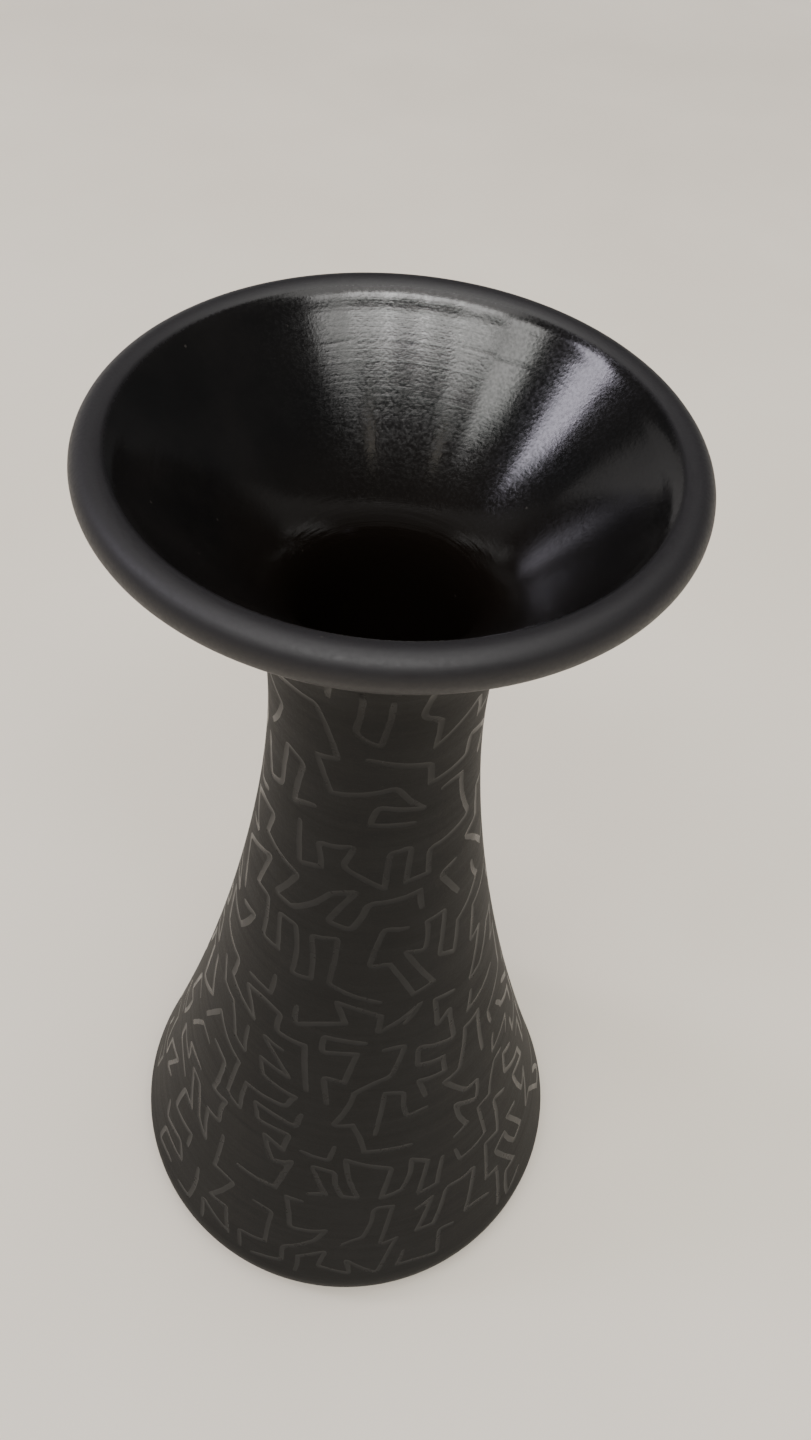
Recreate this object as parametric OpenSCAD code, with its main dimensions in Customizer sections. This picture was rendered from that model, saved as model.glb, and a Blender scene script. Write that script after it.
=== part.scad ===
// Trumpet-mouthed black clay vase, 153 mm tall.
// It is built up the way a potter builds it: a base disc, two wall sections,
// a neck, a flared mouth and a rim coil, each luted to the next at a bevelled joint.
// Origin: centre of the resting face. +Z points up, through the mouth.

/* [Outer form] */
// Height of the vase, from the surface it stands on to the top of the lip
height = 153; // [145:0.5:165]
// Diameter over the lip
mouth_d = 62; // [56:0.5:68]
// Diameter of the narrowest place
waist_d = 25.6; // [23:0.2:30]
// Height at which the body's curve ends, just above the narrowest place
waist_z = 119; // [112:1:124]
// Diameter at which the line of the wall would meet the floor
foot_d = 77.6; // [70:0.2:84]
// Radius of the rounded edge between the wall and the floor
edge_r = 5.5; // [3:0.5:6]

/* [Curvature] */
// How quickly the body swells below the waist (1 is a straight cone)
body_power = 1.5; // [1.3:0.05:1.8]
// How gently the body's curve dies out at the waist
softness = 0.12; // [0.05:0.01:0.2]
// Angle between the wall of the mouth and the vertical
mouth_lean = 44; // [38:1:50]
// How gently the neck bends into the mouth (0 would be a corner)
bend = 3.6; // [2:0.2:8]

/* [Walls] */
// Thickness of the wall of the body and neck
wall = 3.6; // [3:0.2:4.4]
// Thickness of the rounded lip
lip = 4.4; // [3.6:0.2:5]

/* [Clay sections] */
// Height at which the lower wall section ends
lower_top = 48; // [40:1:56]
// Height at which the upper wall section ends
upper_top = 90; // [82:1:100]
// Height at which the neck ends and the flared mouth begins
neck_top = 124; // [121:1:130]
// Height of the rim coil, from its joint to the top of the lip
coil_h = 7; // [5:0.5:9]
// How far each joint slopes down from the outside to the inside
bevel = 4; // [2:0.5:5]

/* [Hidden] */
$fn = 120;

matte_clay = "#2c2b2b";
burnished_clay = "#161515";

wall_step = 2;
arc_steps = 12;

waist_r = waist_d / 2;
lip_r = lip / 2;

// The lip is the rounded end of the flaring wall: a half circle, square to the wall's middle line.
lip_centre = [mouth_d / 2 - lip_r, height - lip_r];
lip_out = [cos(mouth_lean), -sin(mouth_lean)];
flare_end = lip_centre + lip_r * lip_out;

// The body's curve leaves the waist without a corner, and reaches 1 at the floor.
function soft_power(x) = pow(x * x + softness * softness, body_power / 2) - pow(softness, body_power);
function swell(z) = z < waist_z ? soft_power(1 - z / waist_z) / soft_power(1) : 0;

// The mouth is one branch of a hyperbola: upright far below the bend, and straight at mouth_lean above it.
mouth_rise = (flare_end.x - waist_r) / tan(mouth_lean);
bend_z = flare_end.y - (mouth_rise - bend * bend / (4 * mouth_rise));
function flare(z) = let (x = z - bend_z) tan(mouth_lean) * (x + sqrt(x * x + bend * bend)) / 2;

// Outer radius at height z.
function outer_r(z) = waist_r + (foot_d / 2 - waist_r) * swell(z) + flare(z);

// The wall thickens from the waist up to the lip.
function wall_at(z) =
    z < waist_z ? wall : wall + (lip - wall) * (z - waist_z) / (flare_end.y - waist_z);

// Angle between the wall and the vertical, positive where the wall leans inwards going up.
slope_probe = 0.01;
function lean_at(z) =
    atan((outer_r(z - slope_probe) - outer_r(z + slope_probe)) / (2 * slope_probe));

function outer_point(z) = [outer_r(z), z];
function inner_point(z) =
    outer_point(z) - wall_at(z) * [cos(lean_at(z)), sin(lean_at(z))];

// Stations from z0 to z1, both included.
function stations(z0, z1) =
    let (n = ceil(abs(z1 - z0) / wall_step))
    [for (i = [0:n]) z0 + (z1 - z0) * i / n];

// The rounded bottom edge runs from the floor up to where it is tangent to the wall.
edge_lean = lean_at(edge_r);
edge_top = edge_r * (1 + sin(edge_lean));
edge_centre = [outer_r(edge_top) - edge_r * cos(edge_lean), edge_r];
floor_z = inner_point(edge_top).y;

// Height of the joint below the rim coil, measured on the outside.
coil_z = height - coil_h;

// One ring of clay between two joints. Each joint slopes down towards the inside.
module clay_ring(z0, z1, bevel0, bevel1) {
    rotate_extrude()
        polygon(concat(
            [for (z = stations(z0, z1)) outer_point(z)],
            [for (z = stations(z1 - bevel1, z0 - bevel0)) inner_point(z)]
        ));
}

// The slab that the potter starts from, with its rounded edge.
module base_disc() {
    color(matte_clay)
        rotate_extrude()
            polygon(concat(
                [[0, 0]],
                [for (i = [0:arc_steps])
                    let (a = -90 + (90 + edge_lean) * i / arc_steps)
                    edge_centre + edge_r * [cos(a), sin(a)]],
                [inner_point(edge_top)],
                [[0, floor_z]]
            ));
}

// The wide wall section that stands on the base disc.
module lower_body() {
    color(matte_clay)
        clay_ring(edge_top, lower_top, 0, bevel);
}

// The wall section that draws in towards the neck.
module upper_body() {
    color(matte_clay)
        clay_ring(lower_top, upper_top, bevel, bevel);
}

// The narrow neck, with the waist in it.
module neck() {
    color(matte_clay)
        clay_ring(upper_top, neck_top, bevel, bevel);
}

// The trumpet-shaped mouth.
module mouth_funnel() {
    color(burnished_clay)
        clay_ring(neck_top, coil_z, bevel, 0);
}

// The last coil, which thickens the edge and is rounded over into the lip.
module rim_coil() {
    color(burnished_clay)
        rotate_extrude()
            polygon(concat(
                [for (z = stations(coil_z, flare_end.y)) outer_point(z)],
                [for (i = [1:arc_steps - 1])
                    let (a = -mouth_lean + 180 * i / arc_steps)
                    lip_centre + lip_r * [cos(a), sin(a)]],
                [for (z = stations(flare_end.y, coil_z)) inner_point(z)]
            ));
}

base_disc();
lower_body();
upper_body();
neck();
mouth_funnel();
rim_coil();
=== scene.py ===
import math
import random

import bpy
import numpy as np
from mathutils import Matrix, Vector
from mathutils.geometry import delaunay_2d_cdt


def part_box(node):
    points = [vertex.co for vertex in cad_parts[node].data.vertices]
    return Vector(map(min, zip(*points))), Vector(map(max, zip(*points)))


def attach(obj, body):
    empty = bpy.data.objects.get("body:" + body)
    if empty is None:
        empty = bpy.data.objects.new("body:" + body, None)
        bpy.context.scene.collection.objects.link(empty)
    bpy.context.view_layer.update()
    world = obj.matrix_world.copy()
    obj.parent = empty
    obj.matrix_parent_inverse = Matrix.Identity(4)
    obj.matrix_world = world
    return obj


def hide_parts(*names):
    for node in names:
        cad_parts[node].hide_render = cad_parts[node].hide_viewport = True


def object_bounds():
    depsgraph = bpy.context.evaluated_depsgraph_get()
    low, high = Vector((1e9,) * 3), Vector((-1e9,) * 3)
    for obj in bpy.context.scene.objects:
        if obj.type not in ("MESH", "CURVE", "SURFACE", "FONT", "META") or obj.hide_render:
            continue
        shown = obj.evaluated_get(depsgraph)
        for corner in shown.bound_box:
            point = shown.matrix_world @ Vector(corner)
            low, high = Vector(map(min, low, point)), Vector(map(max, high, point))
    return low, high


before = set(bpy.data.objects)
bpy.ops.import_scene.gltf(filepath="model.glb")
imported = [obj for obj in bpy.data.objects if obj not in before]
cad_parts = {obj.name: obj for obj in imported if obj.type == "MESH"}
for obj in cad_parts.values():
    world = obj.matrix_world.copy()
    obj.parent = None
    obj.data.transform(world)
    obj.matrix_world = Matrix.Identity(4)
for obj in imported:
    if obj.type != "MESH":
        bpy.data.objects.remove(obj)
cad_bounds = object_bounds()

# ---------------------------------------------------------------- named values, in metres unless noted

TURN = 2 * math.pi
BODY = "root"
SECTIONS = ("base_disc", "lower_body", "upper_body", "neck", "mouth_funnel", "rim_coil")

# Mesh density
SEGMENTS = 192                # around the lip, the mouth and the base
INNER_SEGMENTS = 96           # around the unseen inside of the body
RING_STEP = 0.8e-3            # between rings on the lip, the mouth and the base
INNER_STEP = 4e-3             # between rings on the unseen inside
GRID_STEP = 1.15e-3           # between points of the matte ground
ROW_SHARE = 0.9               # distance between its rows, as a share of that step
SEAM_GAP = 1e-3               # radians kept clear on both sides of the seam
SAME_PLACE = 2e-6             # points closer than this are one point
STRAIGHT = 2e-3               # sine of the least turn that makes a corner of the outline
LEAST_STEP = 1e-5             # between two corners of the outline

# The burnished lines: shallow round-bottomed channels, rubbed in with a hard tool
LINE_WIDTH = 0.88e-3
LINE_DEPTH = 0.05e-3
FLOOR_SHARE = 0.5             # of the line's width that is its deep middle
LINE_GAP = 2.35e-3            # least distance between the middles of two lines
SHORT_RUN = (2.5e-3, 3.4e-3)  # lengths between two corners
LONG_RUN = (4.2e-3, 7.4e-3)
UPRIGHT_STRETCH = 1.35        # runs up and down the wall are this much longer
LEAN = 15                     # degrees that a run strays from level or upright
JOINT_GAP = 1.4e-3            # level runs keep this far from the joints between two sections
LEVEL_SINE = 0.5              # a run that rises less steeply than this counts as level
MOST_RUNS = 14                # in one line
FEWEST_RUNS = (6, 4, 2)       # in a new line, as room for it gets scarce
LINE_TRIES = 1500             # failed starts before the fewest runs go down
RUN_TRIES = 24                # headings and lengths tried for each run
U_TURN_SHARE = 0.6            # share of the first turns that repeat the turn before
SHORT_SHARE = 0.66            # share of the runs after a long one that are short
LOOSE_GAP = 1.5e-3            # most that chance adds to a run's gap when the snuggest run is picked
LONELY_GAP = 4.5e-3           # a start further than this from every line is mostly passed over
LONELY_SHARE = 0.9
FIRST_LINES = 5               # lines that may start anywhere
PLAIN_FOOT = 1.2e-3           # undecorated height above the base disc
PLAIN_LIP = 6e-3              # undecorated height below the rim coil
LINE_SEED = 21
CORNER_REACH = 1.12           # how far the outside of a sharp corner reaches, in half widths
SOFT_CORNERS = 0.6            # share of the corners that are rounded
SOFT_CORNER = (0.5e-3, 1.1e-3)  # how far before and after a corner its rounding starts
MOST_SOFTENED = 0.4           # of a run's length, at each of its ends
BOW = 0.03                    # how much a run bends sideways, as a share of its length
WAVER = 0.02e-3               # how much the hand shakes
STROKE_STEP = 1e-3            # between two points of a stroke
STROKE_WIDTHS = (0.86, 1.12)  # width of a stroke, as a share of the usual
PRESSURE = (0.93, 1.07)       # change of width along a stroke
STROKE_END = 0.8              # width of its two ends, as a share of the rest
LEAST_ADVANCE = 0.08e-3       # between two points of a line's edge
EDGE_MARGIN = 0.42e-3         # least distance from a line's edge to the points of the matte ground
PIECE_REACH = 2e-3            # pieces of a line further up or down than this aren't tested
EDGE_SLOPE = 0.16             # slope of the channel's side at its edge
FLOOR_SLOPE = 0.07            # slope where the side meets the deep middle

# Zones of the burnished mouth
LIP_START = (-3.7e-3, -3.1e-3)  # radii, from the lip's outer edge, between which the lip's finish sets in
THROAT = (-22e-3, -10e-3)     # heights, from the top, between which the throat's tone fades out
THROAT_ARCS = (-20e-3, 5e-3)  # height, from the top, of the arcs round the throat, and their reach
WRINKLE = (-4.6e-3, 0.28e-3)  # height, from the top, of the wrinkle below the lip, and its reach

# Floor, backdrop and room
FLOOR_HALF = 12.0
GLOW_REACH = (0.55, 2.0)      # distances from the vase between which the floor takes on the backdrop's glow
ROOM_LEVEL = 0.09
BACKDROP_LEVEL = 1.0
BACKDROP_COLOR = (1.0, 0.98, 0.95, 1)
ROOM_COLOR = (0.95, 0.97, 1.0, 1)

# Camera
CAMERA_PLACE = (0, -3.0546, 7.129)  # from the middle of the foot, in mouth radii
YAW, PITCH, ROLL = -0.03857, 0.85987, 0.10609
LENS = 29.64                  # focal length in millimetres


# ---------------------------------------------------------------- the profile, read from the CAD sections

def profile_edges(node):
    """The straight stretches of a section's outline, as (radius, height) pairs of points."""
    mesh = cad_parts[node].data
    co = np.empty(len(mesh.vertices) * 3)
    mesh.vertices.foreach_get("co", co)
    co = co.reshape(-1, 3)
    ends = np.empty(len(mesh.edges) * 2, int)
    mesh.edges.foreach_get("vertices", ends)
    rz = np.column_stack([np.hypot(co[:, 0], co[:, 1]), co[:, 2]])
    return rz, rz[ends.reshape(-1, 2)]


def extreme_radius(edges, heights, pick):
    """The largest or smallest radius that the edges reach at each height."""
    low = edges[:, :, 1].min(axis=1)
    high = edges[:, :, 1].max(axis=1)
    slanted = high - low > 1e-6
    a, b = edges[slanted, 0], edges[slanted, 1]
    low, high = low[slanted], high[slanted]
    found = []
    for z in heights:
        span = (low <= z) & (z <= high)
        t = (z - a[span, 1]) / (b[span, 1] - a[span, 1])
        found.append(pick(a[span, 0] + t * (b[span, 0] - a[span, 0])))
    return np.array(found)


def corner_chain(points, edges, pick, z_from):
    """The corners of the outer or the inner outline, from the bottom up."""
    heights = np.unique(np.round(points[:, 1], 6))
    heights = heights[heights >= z_from]
    inside = np.clip(heights, heights[0] + 1e-7, heights[-1] - 1e-7)
    chain = np.column_stack([extreme_radius(edges, inside, pick), heights])
    kept = [chain[0]]
    for k in range(1, len(chain) - 1):
        before, after = chain[k] - kept[-1], chain[k + 1] - chain[k]
        bend = abs(before[0] * after[1] - before[1] * after[0])
        if bend > STRAIGHT * np.hypot(*before) * np.hypot(*after) and np.hypot(*before) > LEAST_STEP:
            kept.append(chain[k])
    kept.append(chain[-1])
    return np.array(kept)


class Profile:
    """The smooth outline from the rim of the resting face, up the wall, over the lip and down the inside."""

    FINE = 24                 # samples between two corners

    def __init__(self, corners):
        steps = np.linalg.norm(np.diff(corners, axis=0), axis=1)
        slopes = np.diff(corners, axis=0) / steps[:, None]
        tangents = np.vstack([slopes[:1], slopes[1:], slopes[-1:]])
        weight = (steps[1:] / (steps[:-1] + steps[1:]))[:, None]
        tangents[1:-1] = slopes[:-1] * weight + slopes[1:] * (1 - weight)
        tangents /= np.linalg.norm(tangents, axis=1)[:, None]
        t = np.linspace(0, 1, self.FINE, endpoint=False)[:, None]
        points = []
        for k, step in enumerate(steps):
            a, b = corners[k], corners[k + 1]
            ta, tb = tangents[k] * step, tangents[k + 1] * step
            points.append((2 * t**3 - 3 * t**2 + 1) * a + (t**3 - 2 * t**2 + t) * ta
                          + (3 * t**2 - 2 * t**3) * b + (t**3 - t**2) * tb)
        points.append(corners[-1:])
        self.points = np.vstack(points)
        gaps = np.linalg.norm(np.diff(self.points, axis=0), axis=1)
        self.s = np.concatenate([[0], np.cumsum(gaps)])
        self.tangents = np.gradient(self.points, self.s, axis=0)
        self.tangents /= np.linalg.norm(self.tangents, axis=1)[:, None]
        self.top = self.s[np.argmax(self.points[:, 1])]

    def radius(self, s):
        return np.interp(s, self.s, self.points[:, 0])

    def at(self, s):
        """Radius, height and outward normal (radial, vertical) at arc length s."""
        tr = np.interp(s, self.s, self.tangents[:, 0])
        tz = np.interp(s, self.s, self.tangents[:, 1])
        size = np.hypot(tr, tz)
        return self.radius(s), np.interp(s, self.s, self.points[:, 1]), tz / size, -tr / size

    def outer(self, z):
        """Arc length at which the outside reaches height z."""
        side = self.s <= self.top
        return float(np.interp(z, self.points[side, 1], self.s[side]))

    def inner(self, z):
        """Arc length at which the inside reaches height z."""
        side = self.s >= self.top
        return float(np.interp(-z, -self.points[side, 1], self.s[side]))


def read_profile():
    parts = [profile_edges(node) for node in SECTIONS]
    points = np.vstack([p for p, _ in parts])
    edges = np.vstack([e for _, e in parts])
    outside = corner_chain(points, edges, np.max, 0.0)
    inside = corner_chain(points, edges, np.min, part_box("lower_body")[0][2])
    return Profile(np.vstack([outside, inside[-2::-1]]))


profile = read_profile()


# ---------------------------------------------------------------- mesh helpers

class Shell:
    """Vertices, faces, material slots and a normal for each face corner, gathered before the mesh is made."""

    def __init__(self):
        self.co, self.normals, self.faces, self.slots = [], [], [], []

    def add_vertices(self, co):
        first = sum(len(c) for c in self.co)
        self.co.append(np.asarray(co, float))
        return first

    def add_faces(self, faces, normals, slot):
        """normals has, for each face, one normal for each of its corners."""
        self.faces += [tuple(int(v) for v in f) for f in faces]
        self.normals += list(normals)
        self.slots += [slot] * len(faces)

    def build(self, name, materials):
        mesh = bpy.data.meshes.new(name)
        mesh.from_pydata(np.vstack(self.co).tolist(), [], self.faces)
        for material in materials:
            mesh.materials.append(material)
        mesh.polygons.foreach_set("material_index", self.slots)
        mesh.polygons.foreach_set("use_smooth", [True] * len(self.faces))
        corners = [tuple(n) for face in self.normals for n in face]
        mesh.normals_split_custom_set(corners)
        mesh.update()
        piece = bpy.data.objects.new(name, mesh)
        bpy.context.scene.collection.objects.link(piece)
        return piece


def on_wall(theta, s, depth=0.0):
    """Points on the profile's surface, sunk below it by depth."""
    r, z, nr, nz = profile.at(s)
    r, z = r - depth * nr, z - depth * nz
    return np.column_stack([r * np.cos(theta), r * np.sin(theta), z])


def wall_normal(theta, s, tilt=None):
    """Surface normals. A tilt is a slope along (round the wall, up the wall)."""
    _, _, nr, nz = profile.at(s)
    c, q = np.cos(theta), np.sin(theta)
    normal = np.column_stack([nr * c, nr * q, nz])
    if tilt is not None:
        around = np.column_stack([-q, c, 0 * c])
        along = np.column_stack([-nz * c, -nz * q, nr])
        normal = normal - tilt[:, :1] * around - tilt[:, 1:] * along
    return normal / np.linalg.norm(normal, axis=1)[:, None]


def add_band(shell, s_from, s_to, step, segments, slot):
    """A band of the surface between two arc lengths, as rings of quads. Returns its first and last ring."""
    rings = max(2, math.ceil(abs(s_to - s_from) / step) + 1)
    s = np.linspace(s_from, s_to, rings)
    theta = np.arange(segments) * TURN / segments
    tt, ss = np.meshgrid(theta, s)
    first = shell.add_vertices(on_wall(tt.ravel(), ss.ravel()))
    normals = wall_normal(tt.ravel(), ss.ravel())
    faces, corners = [], []
    for i in range(rings - 1):
        for j in range(segments):
            k = (j + 1) % segments
            quad = (i * segments + j, i * segments + k, (i + 1) * segments + k, (i + 1) * segments + j)
            faces.append([first + v for v in quad])
            corners.append([normals[v] for v in quad])
    shell.add_faces(faces, corners, slot)
    return ring(theta, first), ring(theta, first + (rings - 1) * segments)


def ring(theta, first):
    return [(float(t), first + j) for j, t in enumerate(theta)]


def face_normal(shell_co, face):
    a, b, c = (Vector(shell_co[v]) for v in face[:3])
    return (b - a).cross(c - a).normalized()


def bridge(shell, low, high, slot):
    """Joins two rings with unlike spacings by triangles. Going along the outline, low is met first."""
    co = np.vstack(shell.co)
    faces = []
    i = j = 0
    while i < len(low) or j < len(high):
        next_low = low[i + 1][0] if i + 1 < len(low) else TURN + low[0][0]
        next_high = high[j + 1][0] if j + 1 < len(high) else TURN + high[0][0]
        a, b = low[i % len(low)][1], high[j % len(high)][1]
        if i < len(low) and (j >= len(high) or next_low <= next_high):
            faces.append((a, low[(i + 1) % len(low)][1], b))
            i += 1
        else:
            faces.append((a, high[(j + 1) % len(high)][1], b))
            j += 1
    shell.add_faces(faces, [[face_normal(co, f)] * 3 for f in faces], slot)


def cap(shell, edge, z, up, slot):
    """A flat disc that closes a ring."""
    middle = shell.add_vertices([(0, 0, z)])
    faces = []
    for j in range(len(edge)):
        a, b = edge[j][1], edge[(j + 1) % len(edge)][1]
        faces.append((a, b, middle) if up else (b, a, middle))
    shell.add_faces(faces, [[(0, 0, 1 if up else -1)] * 3] * len(faces), slot)


# ---------------------------------------------------------------- the burnished line pattern

class Lines:
    """The middles of the lines drawn so far, as straight pieces on the unrolled wall: (angle, arc length)."""

    REACH = 12e-3             # pieces further up or down than this aren't tested

    def __init__(self):
        self.a = np.zeros((0, 2))
        self.b = np.zeros((0, 2))

    def add(self, a, b):
        self.a = np.vstack([self.a, [a]])
        self.b = np.vstack([self.b, [b]])

    def cut_back(self, count):
        self.a, self.b = self.a[:count], self.b[:count]

    def distance(self, points, radius, count=None):
        """Least distance on the wall from any of the points to the first count pieces."""
        a, b = self.a[:count], self.b[:count]
        near = np.abs((a[:, 1] + b[:, 1]) / 2 - points[:, 1].mean()) < self.REACH
        a, b = a[near], b[near]
        if not len(a):
            return 1.0
        px = ((points[:, None, 0] - a[None, :, 0] + math.pi) % TURN - math.pi) * radius
        py = points[:, None, 1] - a[None, :, 1]
        vx, vy = (b - a)[None, :, 0] * radius, (b - a)[None, :, 1]
        t = np.clip((px * vx + py * vy) / (vx * vx + vy * vy), 0, 1)
        return float(np.sqrt(((px - t * vx) ** 2 + (py - t * vy) ** 2).min()))


def along_joint(lean, s_from, s_to, joints):
    """Whether a run is nearly level and close to a joint, where it would blunt the joint's edge."""
    low, high = min(s_from, s_to) - JOINT_GAP, max(s_from, s_to) + JOINT_GAP
    return abs(math.sin(lean)) < LEVEL_SINE and any(low < joint < high for joint in joints)


def draw_line(rng, lines, start, joints, s_low, s_high):
    """One angular line that turns about 90 degrees at each corner, and keeps clear of every other line."""
    path = [start]
    heading = rng.choice((0, 90, 180, 270))
    first_piece = len(lines.a)
    run, last_side, last_length = 0, 0, 1.0
    for k in range(MOST_RUNS):
        best = None
        for _ in range(RUN_TRIES):
            side = last_side if run == 1 and rng.random() < U_TURN_SHARE else rng.choice((-1, 1))
            if run >= 2 and side == last_side:
                side = -side
            square = heading + 90 * side if k else heading
            lean = math.radians(square + rng.gauss(0, LEAN))
            after_long = last_length > LONG_RUN[0]
            short = after_long and rng.random() < SHORT_SHARE
            length = rng.uniform(*(SHORT_RUN if short else LONG_RUN))
            length *= 1 + (UPRIGHT_STRETCH - 1) * abs(math.sin(lean))
            s_end = path[-1][1] + math.sin(lean) * length
            if not s_low < s_end < s_high or along_joint(lean, path[-1][1], s_end, joints):
                continue
            mid_r = float(profile.radius((path[-1][1] + s_end) / 2))
            end = (path[-1][0] + math.cos(lean) * length / mid_r, s_end)
            t = np.linspace(0, 1, 9)[1:, None]
            points = np.array(path[-1]) * (1 - t) + np.array(end) * t
            drawn = len(lines.a)
            gap = lines.distance(points, mid_r, drawn - 1 if drawn > first_piece else drawn)
            if gap < LINE_GAP:
                continue
            score = gap + rng.uniform(0, LOOSE_GAP)
            if best is None or score < best[0]:
                best = (score, end, square, side, length)
        if best is None:
            break
        _, end, heading, side, last_length = best
        lines.add(path[-1], end)
        path.append(end)
        run = run + 1 if side == last_side else 1
        last_side = side
    return path


def draw_pattern(joints):
    """Fills the wall with lines, until many tries have found no room for another."""
    s_low, s_high = joints[0] + PLAIN_FOOT, joints[-1] - PLAIN_LIP
    rng = random.Random(LINE_SEED)
    lines = Lines()
    paths = []
    misses = 0
    widest = float(profile.radius(s_low))
    while misses < LINE_TRIES * len(FEWEST_RUNS):
        s = rng.uniform(s_low, s_high)
        if rng.random() > float(profile.radius(s)) / widest:
            continue
        start = (rng.uniform(0, TURN), s)
        gap = lines.distance(np.array([start]), float(profile.radius(s)))
        crowded = gap < LINE_GAP
        lonely = gap > LONELY_GAP and len(paths) > FIRST_LINES and rng.random() < LONELY_SHARE
        if crowded or lonely:
            misses += 1
            continue
        count = len(lines.a)
        path = draw_line(rng, lines, start, joints, s_low, s_high)
        if len(path) - 1 < FEWEST_RUNS[misses // LINE_TRIES]:
            lines.cut_back(count)
            misses += 1
            continue
        paths.append(path)
    return paths


# ---------------------------------------------------------------- from line middles to grooved wall

class Sheet:
    """Points and edges of the unrolled wall, before it is triangulated: (angle, arc length)."""

    GROUND, BORDER, FLOOR = 0, 1, 2
    SCALE = Vector((20, 1000))         # evens out the two units, so that triangles come out well shaped

    def __init__(self):
        self.points, self.kinds, self.tilts, self.edges = [], [], [], []

    def add_point(self, theta, s, kind=GROUND, tilt=(0.0, 0.0)):
        self.points.append((theta, s))
        self.kinds.append(kind)
        self.tilts.append(tilt)
        return len(self.points) - 1

    def add_chain(self, ids, closed=False):
        self.edges += list(zip(ids, ids[1:]))
        if closed:
            self.edges.append((ids[-1], ids[0]))

    def triangulate(self):
        """Returns points, kinds, tilts and triangles. New points appear where a groove crosses a joint."""
        flat = [Vector((t * self.SCALE.x, s * self.SCALE.y)) for t, s in self.points]
        found, edges, faces, from_points, from_edges, _ = delaunay_2d_cdt(flat, self.edges, [], 0, 1e-5)
        points = np.array([(v.x / self.SCALE.x, v.y / self.SCALE.y) for v in found])
        kinds = np.zeros(len(found), int)
        tilts = np.zeros((len(found), 2))
        crossing = set()
        for k, sources in enumerate(from_points):
            if sources:
                source = max(sources, key=lambda i: self.kinds[i])
                kinds[k], tilts[k] = self.kinds[source], self.tilts[source]
            else:
                crossing.add(k)
        for edge, sources in zip(edges, from_edges):
            for k in edge:
                if k in crossing:
                    for i in sources:
                        a, b = self.edges[i]
                        if self.kinds[a] > kinds[k]:
                            kinds[k] = self.kinds[a]
                            tilts[k] = (np.array(self.tilts[a]) + np.array(self.tilts[b])) / 2
        return points, kinds, tilts, np.array(faces)


def soften(path, rng):
    """Cuts some of a line's corners: each is (stretch before it ends, corner, stretch after it starts)."""
    corners = []
    for before, corner, after in zip(path, path[1:], path[2:]):
        r = float(profile.radius(corner[1]))
        cut = rng.uniform(*SOFT_CORNER) if rng.random() < SOFT_CORNERS else 0.0
        ends = []
        for other in (before, after):
            length = math.hypot((other[0] - corner[0]) * r, other[1] - corner[1])
            t = min(cut / length, MOST_SOFTENED)
            ends.append(tuple(c + (o - c) * t for c, o in zip(corner, other)))
        corners.append((ends[0], corner, ends[1]) if cut else (corner, corner, corner))
    return corners


def hand_drawn(path, rng):
    """The line's middle with the bow and waver of a hand, as (angle, arc length, is a sharp corner)."""
    corners = soften(path, rng)
    starts = [path[0]] + [c[2] for c in corners]
    stops = [c[0] for c in corners] + [path[-1]]
    out = [(*path[0], False)]
    for k, (a, b) in enumerate(zip(starts, stops)):
        r = float(profile.radius((a[1] + b[1]) / 2))
        dx, dy = (b[0] - a[0]) * r, b[1] - a[1]
        length = math.hypot(dx, dy)
        steps = max(2, round(length / STROKE_STEP))
        bow = rng.gauss(0, BOW) * length
        for i in range(1, steps):
            t = i / steps
            off = bow * math.sin(math.pi * t) + rng.gauss(0, WAVER)
            out.append((a[0] + (dx * t - dy / length * off) / r, a[1] + dy * t + dx / length * off, False))
        if k == len(corners) or corners[k][0] == corners[k][1]:
            out.append((*b, k < len(corners)))
            continue
        p, q, s = corners[k]
        for t in (0.0, 0.25, 0.5, 0.75, 1.0):
            bend = [(1 - t)**2 * u + 2 * t * (1 - t) * v + t**2 * w for u, v, w in zip(p, q, s)]
            out.append((*bend, False))
    return out


def draw_stroke(path, rng):
    """A hand-drawn line's middle, and its half width at each point."""
    middle = hand_drawn(path, rng)
    share = rng.uniform(*STROKE_WIDTHS)
    widths = [LINE_WIDTH / 2 * share * rng.uniform(*PRESSURE) for _ in middle]
    widths[0] *= STROKE_END
    widths[-1] *= STROKE_END
    return middle, widths


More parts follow.
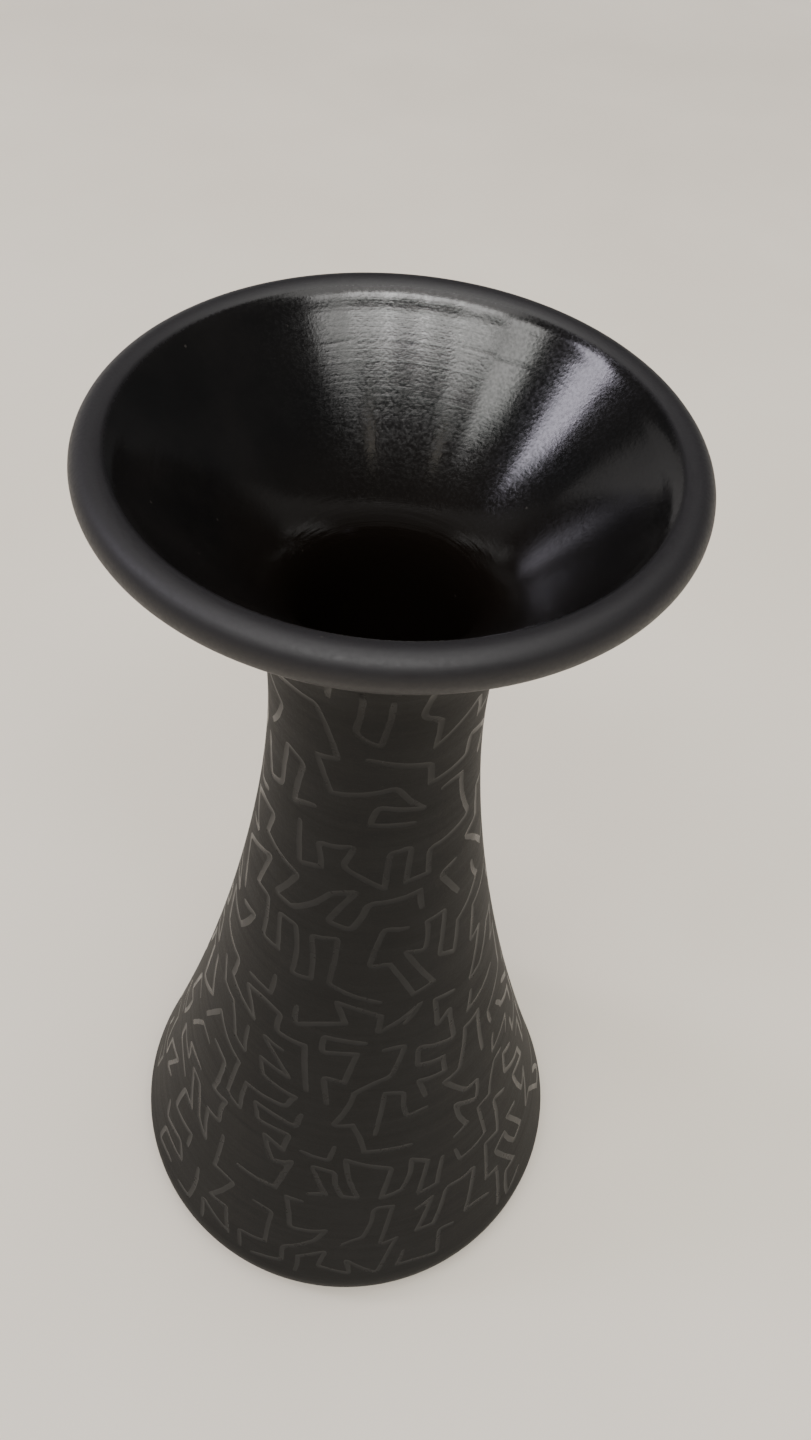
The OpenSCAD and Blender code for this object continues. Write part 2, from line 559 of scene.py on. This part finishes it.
def outline(middle, widths, slope, kind, sheet, shift):
    """Adds the closed outline that runs at the given half widths on both sides of a line's middle."""
    count = len(middle)
    radii = [float(profile.radius(p[1])) for p in middle]
    ahead = []
    for k in range(count - 1):
        r = (radii[k] + radii[k + 1]) / 2
        d = np.array([(middle[k + 1][0] - middle[k][0]) * r, middle[k + 1][1] - middle[k][1]])
        ahead.append(d / np.hypot(*d))

    def place(k, offset):
        size = np.hypot(*offset)
        theta = middle[k][0] + offset[0] / radii[k] + shift
        return sheet.add_point(theta, middle[k][1] + offset[1], kind, tuple(slope * offset / size))

    def goes_on(k, offset, last, heading):
        """Whether the outline still moves along the line here: inside a tight corner it would fold back."""
        spot = (middle[k][0] + offset[0] / radii[k] + shift, middle[k][1] + offset[1])
        step = np.array([(spot[0] - sheet.points[last][0]) * radii[k], spot[1] - sheet.points[last][1]])
        return step @ heading > LEAST_ADVANCE

    def side(order, flip):
        ids = []
        for k in order:
            d_in = ahead[max(k - 1, 0)]
            d_out = ahead[min(k, count - 2)]
            n_in, n_out = flip * np.array([-d_in[1], d_in[0]]), flip * np.array([-d_out[1], d_out[0]])
            turned_away = flip * (d_in[0] * d_out[1] - d_in[1] * d_out[0]) < 0
            mitre = (n_in + n_out) / (1 + n_in @ n_out)
            if middle[k][2] and turned_away:
                middle_n = (n_in + n_out) / np.hypot(*(n_in + n_out))
                fan = [n_in, middle_n * CORNER_REACH, n_out]
                if flip < 0:
                    fan.reverse()
                ids += [place(k, widths[k] * n) for n in fan]
            elif not ids or goes_on(k, widths[k] * mitre, ids[-1], d_in if flip > 0 else -d_out):
                ids.append(place(k, widths[k] * mitre))
        return ids

    def end(k, direction, flip):
        n = np.array([-direction[1], direction[0]])
        turns = [math.radians(a) for a in (45, 0, -45)]
        return [place(k, widths[k] * (math.cos(a) * direction + flip * math.sin(a) * n)) for a in turns]

    loop = side(range(count), 1)
    loop += end(count - 1, ahead[-1], 1)
    loop += side(range(count - 1, -1, -1), -1)
    loop += end(0, -ahead[0], 1)
    sheet.add_chain(loop, closed=True)


def clear_of_lines(starts, ends, thetas, s):
    """Which of the points along one row keep off every line's edge. The lines are given in short pieces."""
    radius = float(profile.radius(s))
    margin = LINE_WIDTH / 2 + EDGE_MARGIN
    near = np.abs((starts[:, 1] + ends[:, 1]) / 2 - s) < PIECE_REACH
    a, b = starts[near], ends[near]
    if not len(a):
        return np.ones(len(thetas), bool)
    px = ((thetas[:, None] - a[None, :, 0] + math.pi) % TURN - math.pi) * radius
    py = s - a[None, :, 1]
    vx, vy = (b - a)[None, :, 0] * radius, (b - a)[None, :, 1]
    t = np.clip((px * vx + py * vy) / (vx * vx + vy * vy), 0, 1)
    return np.hypot(px - t * vx, py - t * vy).min(axis=1) > margin


def lay_out_wall(levels):
    """The whole decorated wall between the first and the last level, unrolled, with its grooves."""
    sheet = Sheet()
    rng = random.Random(LINE_SEED + 1)
    strokes = [draw_stroke(path, rng) for path in draw_pattern(levels)]
    pieces = np.array([(a[:2], b[:2]) for middle, _ in strokes for a, b in zip(middle, middle[1:])])

    rows = []
    for low, high in zip(levels, levels[1:]):
        n = math.ceil((high - low) / (GRID_STEP * ROW_SHARE))
        rows += list(np.linspace(low, high, n, endpoint=False))
    rows.append(levels[-1])
    seams = {0.0: [], TURN: []}
    for k, s in enumerate(rows):
        edge_row = k in (0, len(rows) - 1)
        count = SEGMENTS if edge_row else round(TURN * float(profile.radius(s)) / GRID_STEP)
        shift = 0.5 * (k % 2) if s not in levels else 0
        thetas = (np.arange(count) + shift) * TURN / count
        thetas = thetas[(thetas > SEAM_GAP) & (thetas < TURN - SEAM_GAP)]
        thetas = np.concatenate([[0.0], thetas, [TURN]])
        thetas = thetas[clear_of_lines(pieces[:, 0], pieces[:, 1], thetas, s)]
        ids = [sheet.add_point(float(t), float(s)) for t in thetas]
        if s in levels:
            sheet.add_chain(ids)
        for t, i in zip(thetas, ids):
            if float(t) in seams:
                seams[float(t)].append(i)
    for ids in seams.values():
        sheet.add_chain(ids)

    for middle, widths in strokes:
        floors = [w * FLOOR_SHARE for w in widths]
        reach = LINE_WIDTH / float(profile.radius(middle[0][1]))
        angles = [p[0] for p in middle]
        for shift in (-TURN, 0.0, TURN):
            if max(angles) + shift > -reach and min(angles) + shift < TURN + reach:
                outline(middle, widths, EDGE_SLOPE, Sheet.BORDER, sheet, shift)
                outline(middle, floors, FLOOR_SLOPE, Sheet.FLOOR, sheet, shift)
    return sheet


def weld_seam(points, kinds):
    """For each point, the point that stands for it once the two sides of the seam are joined."""
    stands_for = np.arange(len(points))
    left = np.flatnonzero(np.abs(points[:, 0]) < 1e-6)
    right = np.flatnonzero(np.abs(points[:, 0] - TURN) < 1e-6)
    for i in right:
        j = left[np.argmin(np.abs(points[left, 1] - points[i, 1]))]
        if abs(points[j, 1] - points[i, 1]) < SAME_PLACE:
            stands_for[i] = j
            kinds[i] = kinds[j]
    return stands_for


def wall_rings(levels):
    """Triangulates the wall and splits it at the joints between the sections."""
    points, kinds, tilts, faces = lay_out_wall(levels).triangulate()
    middle = points[faces].mean(axis=1)
    inside = ((middle[:, 0] > 0) & (middle[:, 0] < TURN)
              & (middle[:, 1] > levels[0]) & (middle[:, 1] < levels[-1]))
    faces, middle = faces[inside], middle[inside]
    stands_for = weld_seam(points, kinds)
    depth = np.where(kinds == Sheet.FLOOR, LINE_DEPTH, 0.0)
    co = on_wall(points[:, 0], points[:, 1], depth)
    plain = wall_normal(points[:, 0], points[:, 1])
    tilted = wall_normal(points[:, 0], points[:, 1], tilts)
    grooved = (kinds[faces] == Sheet.FLOOR).any(axis=1)
    section = np.searchsorted(levels, middle[:, 1]) - 1
    parts = []
    for k in range(len(levels) - 1):
        mine = section == k
        parts.append((points, co, stands_for, faces[mine], grooved[mine], plain, tilted))
    return parts


def add_wall(shell, part, s_low, s_high):
    """Adds one section's grooved outside to a shell. Returns its lowest and highest ring."""
    points, co, stands_for, faces, grooved, plain, tilted = part
    welded = stands_for[faces]
    used, index = np.unique(welded, return_inverse=True)
    index = index.reshape(welded.shape)
    whole = (index[:, 0] != index[:, 1]) & (index[:, 1] != index[:, 2]) & (index[:, 2] != index[:, 0])
    first = shell.add_vertices(co[used])
    for groove, normals, slot in ((False, plain, SLOT_GROUND), (True, tilted, SLOT_LINE)):
        pick = whole & (grooved == groove)
        shell.add_faces(first + index[pick], normals[faces[pick]], slot)
    rings = []
    for s in (s_low, s_high):
        on_level = np.flatnonzero(np.abs(points[used, 1] - s) < SAME_PLACE)
        on_level = on_level[np.argsort(points[used[on_level], 0])]
        rings.append([(float(points[used[i], 0]), first + int(i)) for i in on_level])
    return rings


# ---------------------------------------------------------------- materials

SLOT_GROUND, SLOT_LINE, SLOT_MOUTH = 0, 1, 2


class Graph:
    """A short way to write a node tree."""

    def __init__(self, name):
        self.material = bpy.data.materials.new(name)
        self.material.use_nodes = True
        self.tree = self.material.node_tree
        self.shader = self.tree.nodes["Principled BSDF"]
        self.place = self.node("ShaderNodeTexCoord").outputs["Object"]

    def node(self, kind, **settings):
        made = self.tree.nodes.new(kind)
        for key, value in settings.items():
            setattr(made, key, value)
        return made

    def wire(self, source, target):
        self.tree.links.new(source, target)

    def stretched(self, scale):
        mapping = self.node("ShaderNodeMapping")
        mapping.inputs["Scale"].default_value = scale
        self.wire(self.place, mapping.inputs["Vector"])
        return mapping.outputs["Vector"]

    def noise(self, scale, detail=4.0, roughness=0.55, stretch=None):
        made = self.node("ShaderNodeTexNoise")
        made.inputs["Scale"].default_value = scale
        made.inputs["Detail"].default_value = detail
        made.inputs["Roughness"].default_value = roughness
        self.wire(self.stretched(stretch) if stretch else self.place, made.inputs["Vector"])
        return made.outputs["Fac"]

    def ramp(self, source, low, high, out_low, out_high):
        made = self.node("ShaderNodeMapRange", clamp=True)
        made.inputs["From Min"].default_value = low
        made.inputs["From Max"].default_value = high
        made.inputs["To Min"].default_value = out_low
        made.inputs["To Max"].default_value = out_high
        self.wire(source, made.inputs["Value"])
        return made.outputs["Result"]

    def math(self, operation, a, b):
        made = self.node("ShaderNodeMath", operation=operation)
        for value, socket in ((a, made.inputs[0]), (b, made.inputs[1])):
            if isinstance(value, (int, float)):
                socket.default_value = value
            else:
                self.wire(value, socket)
        return made.outputs["Value"]

    def blend(self, factor, a, b):
        made = self.node("ShaderNodeMix", data_type="RGBA")
        self.wire(factor, made.inputs["Factor"])
        for value, socket in ((a, made.inputs["A"]), (b, made.inputs["B"])):
            if isinstance(value, tuple):
                socket.default_value = (*value, 1)
            else:
                self.wire(value, socket)
        return made.outputs["Result"]

    def bump(self, height, distance, strength=1.0, under=None):
        made = self.node("ShaderNodeBump")
        made.inputs["Distance"].default_value = distance
        made.inputs["Strength"].default_value = strength
        self.wire(height, made.inputs["Height"])
        if under is not None:
            self.wire(under, made.inputs["Normal"])
        return made.outputs["Normal"]

    def band(self, source, middle, reach):
        """1 at the middle value, falling to 0 at reach on both sides."""
        off = self.math("ABSOLUTE", self.math("SUBTRACT", source, middle), 0.0)
        return self.ramp(off, 0.0, reach, 1, 0)

    def specks(self, scale, radius, share):
        """Small round dots in a share of the cells of a random mosaic."""
        cells = self.node("ShaderNodeTexVoronoi")
        cells.inputs["Scale"].default_value = scale
        self.wire(self.place, cells.inputs["Vector"])
        split = self.node("ShaderNodeSeparateColor")
        self.wire(cells.outputs["Color"], split.inputs["Color"])
        dot = self.ramp(cells.outputs["Distance"], radius, radius * 1.6, 1, 0)
        return self.math("MULTIPLY", dot, self.math("LESS_THAN", split.outputs["Red"], share))

    def finish(self, color, roughness, normal, **values):
        self.wire(color, self.shader.inputs["Base Color"])
        self.wire(roughness, self.shader.inputs["Roughness"])
        self.wire(normal, self.shader.inputs["Normal"])
        for key, value in values.items():
            self.shader.inputs[key.replace("_", " ")].default_value = value
        return self.material


def matte_clay():
    """Unburnished black clay: charcoal, dry, with a fine grain and faint strokes round the wall."""
    g = Graph("matte_clay")
    cloud = g.noise(70, 5, 0.6)
    grain = g.noise(2600, 3, 0.6)
    strokes = g.noise(60, 4, 0.6, stretch=(0.6, 0.6, 14))
    tone = g.blend(g.ramp(cloud, 0.35, 0.7, 0, 1), (0.0077, 0.0076, 0.0075), (0.0110, 0.0109, 0.0107))
    tone = g.blend(g.ramp(grain, 0.62, 0.72, 0, 0.35), tone, (0.026, 0.025, 0.024))
    rough = g.math("ADD", g.ramp(strokes, 0.3, 0.7, 0.56, 0.63), g.ramp(grain, 0.3, 0.7, -0.03, 0.03))
    bumped = g.bump(strokes, 0.025e-3, 0.6)
    bumped = g.bump(grain, 0.018e-3, 1.0, bumped)
    return g.finish(tone, rough, bumped, Specular_IOR_Level=0.15)


def burnished_line():
    """Where the tool has rubbed the clay: denser and much smoother. Its lighter tone is painted sheen,
    standing in for part of the gloss the lines show.
    """
    g = Graph("burnished_line")
    grain = g.noise(1500, 3, 0.6)
    wear = g.noise(260, 3, 0.6)
    # painted sheen: this tone is lighter than the matte ground so the lines look glossy from every side; the
    # wear noise only varies it at random
    tone = g.blend(g.ramp(wear, 0.35, 0.7, 0, 1), (0.0190, 0.0187, 0.0183), (0.0250, 0.0246, 0.0241))
    rough = g.ramp(wear, 0.3, 0.75, 0.24, 0.38)
    return g.finish(tone, rough, g.bump(grain, 0.006e-3), Specular_IOR_Level=0.085)


def mouth_tone(g, height, on_lip):
    """Nearly black, browner down the throat and a lighter grey on the lip with a violet tint that is painted
    reflection of the violet left window, with a few specks of dust.
    """
    throat = g.ramp(height, *THROAT, 1, 0)
    cloud = g.noise(90, 4, 0.6)
    tone = g.blend(g.ramp(cloud, 0.35, 0.7, 0, 1), (0.0036, 0.0033, 0.0032), (0.0070, 0.0062, 0.0059))
    tone = g.blend(throat, tone, (0.0060, 0.0042, 0.0030))
    # painted reflection: the lip's violet tint copies the left window's violet light; its lighter satin grey
    # is the lip's own finish
    tone = g.blend(on_lip, tone, (0.0095, 0.0084, 0.0096))
    return g.blend(g.specks(620, 0.07, 0.08), tone, (0.030, 0.027, 0.024))


def mouth_relief(g, height, peel):
    """The potter's rings, arcs round the throat, a wrinkle below the lip, finger streaks and a fine peel."""
    rings = g.noise(150, 4, 0.65, stretch=(0.05, 0.05, 12))
    arcs = g.math("MULTIPLY", g.noise(420, 2, 0.5, stretch=(0.12, 0.12, 5)), g.band(height, *THROAT_ARCS))
    wave = g.ramp(g.noise(45, 2, 0.5), 0.3, 0.7, -0.7e-3, 0.7e-3)
    wrinkle = g.math("MULTIPLY", g.band(g.math("ADD", height, wave), *WRINKLE),
                     g.ramp(g.noise(60, 2), 0.44, 0.56, 0, -1))
    streaks = g.noise(420, 4, 0.7, stretch=(0.3, 0.3, 4))
    bumped = g.bump(rings, 0.012e-3, 0.6)
    bumped = g.bump(arcs, 0.035e-3, 1.0, bumped)
    bumped = g.bump(wrinkle, 0.011e-3, 1.0, bumped)
    bumped = g.bump(streaks, 0.003e-3, 1.0, bumped)
    return g.bump(peel, 0.009e-3, 1.0, bumped)


def burnished_clay():
    """The hand-burnished mouth: satin on the lip and glossier inside."""
    g = Graph("burnished_clay")
    split = g.node("ShaderNodeSeparateXYZ")
    g.wire(g.place, split.inputs["Vector"])
    squares = [g.math("POWER", split.outputs[axis], 2.0) for axis in ("X", "Y")]
    radius = g.math("SQRT", g.math("ADD", *squares), 0.0)
    from_top = g.math("SUBTRACT", split.outputs["Z"], float(cad_bounds[1][2]))
    from_edge = g.math("SUBTRACT", radius, float(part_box("rim_coil")[1][0]))
    on_lip = g.ramp(from_edge, *LIP_START, 0, 1)
    peel = g.noise(2600, 2, 0.6)
    rough = g.math("ADD", g.ramp(on_lip, 0, 1, 0.15, 0.52), g.ramp(peel, 0.35, 0.65, -0.04, 0.05))
    tone = mouth_tone(g, from_top, on_lip)
    return g.finish(tone, rough, mouth_relief(g, from_top, peel), Specular_IOR_Level=0.5)


# ---------------------------------------------------------------- the fired clay sections

def joint_levels():
    """Outer arc lengths at which one section ends and the next begins."""
    tops = [profile.outer(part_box(node)[1][2]) for node in SECTIONS[:4]]
    return tops + [profile.outer(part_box("rim_coil")[0][2])]


def inner_levels():
    """Inner arc lengths of the same joints. The last one is square to the wall."""
    feet = [profile.inner(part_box(node)[0][2]) for node in SECTIONS[1:5]]
    return feet + [profile.inner(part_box("mouth_funnel")[1][2])]


def make_base(outer_s, materials):
    shell = Shell()
    low, high = add_band(shell, 0.0, outer_s, RING_STEP, SEGMENTS, SLOT_GROUND)
    cap(shell, low, 0.0, False, SLOT_GROUND)
    floor_r, floor_z, _, _ = profile.at(profile.s[-1])
    theta = np.arange(INNER_SEGMENTS) * TURN / INNER_SEGMENTS
    first = shell.add_vertices([(floor_r * math.cos(t), floor_r * math.sin(t), floor_z) for t in theta])
    floor = ring(theta, first)
    bridge(shell, high, floor, SLOT_GROUND)
    cap(shell, floor, float(floor_z), True, SLOT_GROUND)
    return shell.build("fired_base_disc", materials)


def make_section(name, part, outer_low, outer_high, inner_low, inner_high, seen_inside, materials):
    shell = Shell()
    low, high = add_wall(shell, part, outer_low, outer_high)
    step = RING_STEP if seen_inside else INNER_STEP
    segments = SEGMENTS if seen_inside else INNER_SEGMENTS
    slot = SLOT_MOUTH if seen_inside else SLOT_GROUND
    inner_top, inner_foot = add_band(shell, inner_high, inner_low, step, segments, slot)
    bridge(shell, high, inner_top, slot)
    bridge(shell, inner_foot, low, slot)
    return shell.build(f"fired_{name}", materials)


def make_lip(outer_s, inner_s, materials):
    shell = Shell()
    outside, inside = add_band(shell, outer_s, inner_s, RING_STEP / 2, SEGMENTS, SLOT_MOUTH)
    bridge(shell, inside, outside, SLOT_MOUTH)
    return shell.build("fired_rim_coil", materials)


def make_vase():
    materials = [matte_clay(), burnished_line(), burnished_clay()]
    outer, inner = joint_levels(), inner_levels()
    pieces = {"base_disc": make_base(outer[0], materials)}
    for k, part in enumerate(wall_rings(outer)):
        node = SECTIONS[k + 1]
        seen_inside = node in ("neck", "mouth_funnel")
        pieces[node] = make_section(node, part, outer[k], outer[k + 1], inner[k], inner[k + 1],
                                    seen_inside, materials)
    pieces["rim_coil"] = make_lip(outer[-1], inner[-1], materials)
    for node, piece in pieces.items():
        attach(piece, BODY)
        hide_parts(node)


# ---------------------------------------------------------------- floor, light and camera

def pale_floor():
    """A pale, slightly mottled floor that glows as softly as the backdrop where it meets it."""
    g = Graph("pale_floor")
    tone = g.blend(g.ramp(g.noise(9, 3, 0.5), 0.35, 0.7, 0, 1), (0.85, 0.775, 0.66), (0.90, 0.825, 0.71))
    far = g.node("ShaderNodeVectorMath", operation="LENGTH")
    g.wire(g.place, far.inputs[0])
    g.wire(g.ramp(far.outputs["Value"], *GLOW_REACH, 0, BACKDROP_LEVEL), g.shader.inputs["Emission Strength"])
    g.shader.inputs["Emission Color"].default_value = BACKDROP_COLOR
    return g.finish(tone, g.ramp(g.noise(40, 2), 0.3, 0.7, 0.42, 0.5), g.bump(g.noise(300), 1e-5))


def make_floor():
    mesh = bpy.data.meshes.new("floor")
    mesh.from_pydata([(x * FLOOR_HALF, y * FLOOR_HALF, 0) for x, y in ((-1, -1), (1, -1), (1, 1), (-1, 1))],
                     [], [(0, 1, 2, 3)])
    mesh.materials.append(pale_floor())
    floor = bpy.data.objects.new("floor", mesh)
    bpy.context.scene.collection.objects.link(floor)


def make_world():
    """A pale backdrop. What the vase is lit by and mirrors is a dim room round the soft boxes."""
    world = bpy.data.worlds.new("studio")
    world.use_nodes = True
    bpy.context.scene.world = world
    tree = world.node_tree
    room = tree.nodes["Background"]
    room.inputs["Color"].default_value = ROOM_COLOR
    room.inputs["Strength"].default_value = ROOM_LEVEL
    backdrop = tree.nodes.new("ShaderNodeBackground")
    backdrop.inputs["Color"].default_value = BACKDROP_COLOR
    backdrop.inputs["Strength"].default_value = BACKDROP_LEVEL
    mix = tree.nodes.new("ShaderNodeMixShader")
    seen = tree.nodes.new("ShaderNodeLightPath")
    tree.links.new(seen.outputs["Is Camera Ray"], mix.inputs["Fac"])
    tree.links.new(room.outputs["Background"], mix.inputs[1])
    tree.links.new(backdrop.outputs["Background"], mix.inputs[2])
    tree.links.new(mix.outputs["Shader"], tree.nodes["World Output"].inputs["Surface"])


def soft_box(name, azimuth, elevation, distance, size, radiance, color, mirrored=True):
    """A rectangular lamp that faces the mouth. Azimuth 0 is in front of it (-Y), 90 is to its right (+X)."""
    mouth = Vector((0, 0, cad_bounds[1][2]))
    a, e = math.radians(azimuth), math.radians(elevation)
    away = Vector((math.sin(a) * math.cos(e), -math.cos(a) * math.cos(e), math.sin(e)))
    light = bpy.data.lights.new(name, "AREA")
    light.shape = "RECTANGLE"
    light.size, light.size_y = size
    light.energy = radiance * math.pi * size[0] * size[1]
    light.color = color
    lamp = bpy.data.objects.new(name, light)
    lamp.location = mouth + distance * away
    lamp.rotation_euler = away.to_track_quat("Z", "Y").to_euler()
    lamp.visible_glossy = mirrored
    bpy.context.scene.collection.objects.link(lamp)


def make_lights():
    soft_box("overhead", 0, 89, 1.5, (1.7, 1.7), 2.4, (1.0, 0.985, 0.96))
    for azimuth, radiance in zip(range(-60, 41, 20), (8.5, 9.5, 11.5, 12.5, 12.0, 5.0)):
        elevation = 58.8 - azimuth**2 / 300
        soft_box("ceiling_strip", azimuth, elevation, 1.2, (0.28, 0.18), radiance, (1.0, 0.99, 0.97))
    soft_box("left_window", -95, 38, 1.2, (0.24, 0.36), 12.5, (0.90, 0.86, 1.0))
    soft_box("left_lamp", -33, 43, 1.2, (0.05, 0.08), 3.5, (1.0, 0.93, 0.80))
    soft_box("right_lamp", 21, 45, 1.2, (0.05, 0.08), 3.5, (1.0, 0.90, 0.75))
    soft_box("back_glow", -143, 9, 1.3, (1.0, 0.5), 0.42, (1.0, 0.95, 0.93))
    for azimuth in (60, 105, 150, 195):
        soft_box("side_fill", azimuth, 24, 1.3, (0.9, 0.7), 1.1, (1.0, 0.98, 0.96), mirrored=False)


def make_camera():
    """Above the mouth and in front of it, looking down, at the angle of a close hand-held view."""
    low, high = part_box("rim_coil")
    mouth_r = (high[0] - low[0]) / 2
    place = Vector(CAMERA_PLACE) * mouth_r
    right = Vector((math.cos(YAW), math.sin(YAW), 0))
    ahead = Vector((-math.sin(YAW) * math.cos(PITCH), math.cos(YAW) * math.cos(PITCH), -math.sin(PITCH)))
    up = right.cross(ahead)
    x = math.cos(ROLL) * right + math.sin(ROLL) * up
    y = -math.sin(ROLL) * right + math.cos(ROLL) * up
    camera = bpy.data.objects.new("camera", bpy.data.cameras.new("camera"))
    camera.data.lens = LENS
    camera.data.clip_start = 0.01
    turn = Matrix((x, y, -ahead)).transposed().to_4x4()
    camera.matrix_world = Matrix.Translation(place) @ turn
    bpy.context.scene.collection.objects.link(camera)
    bpy.context.scene.camera = camera


make_vase()
make_floor()
make_world()
make_lights()
make_camera()
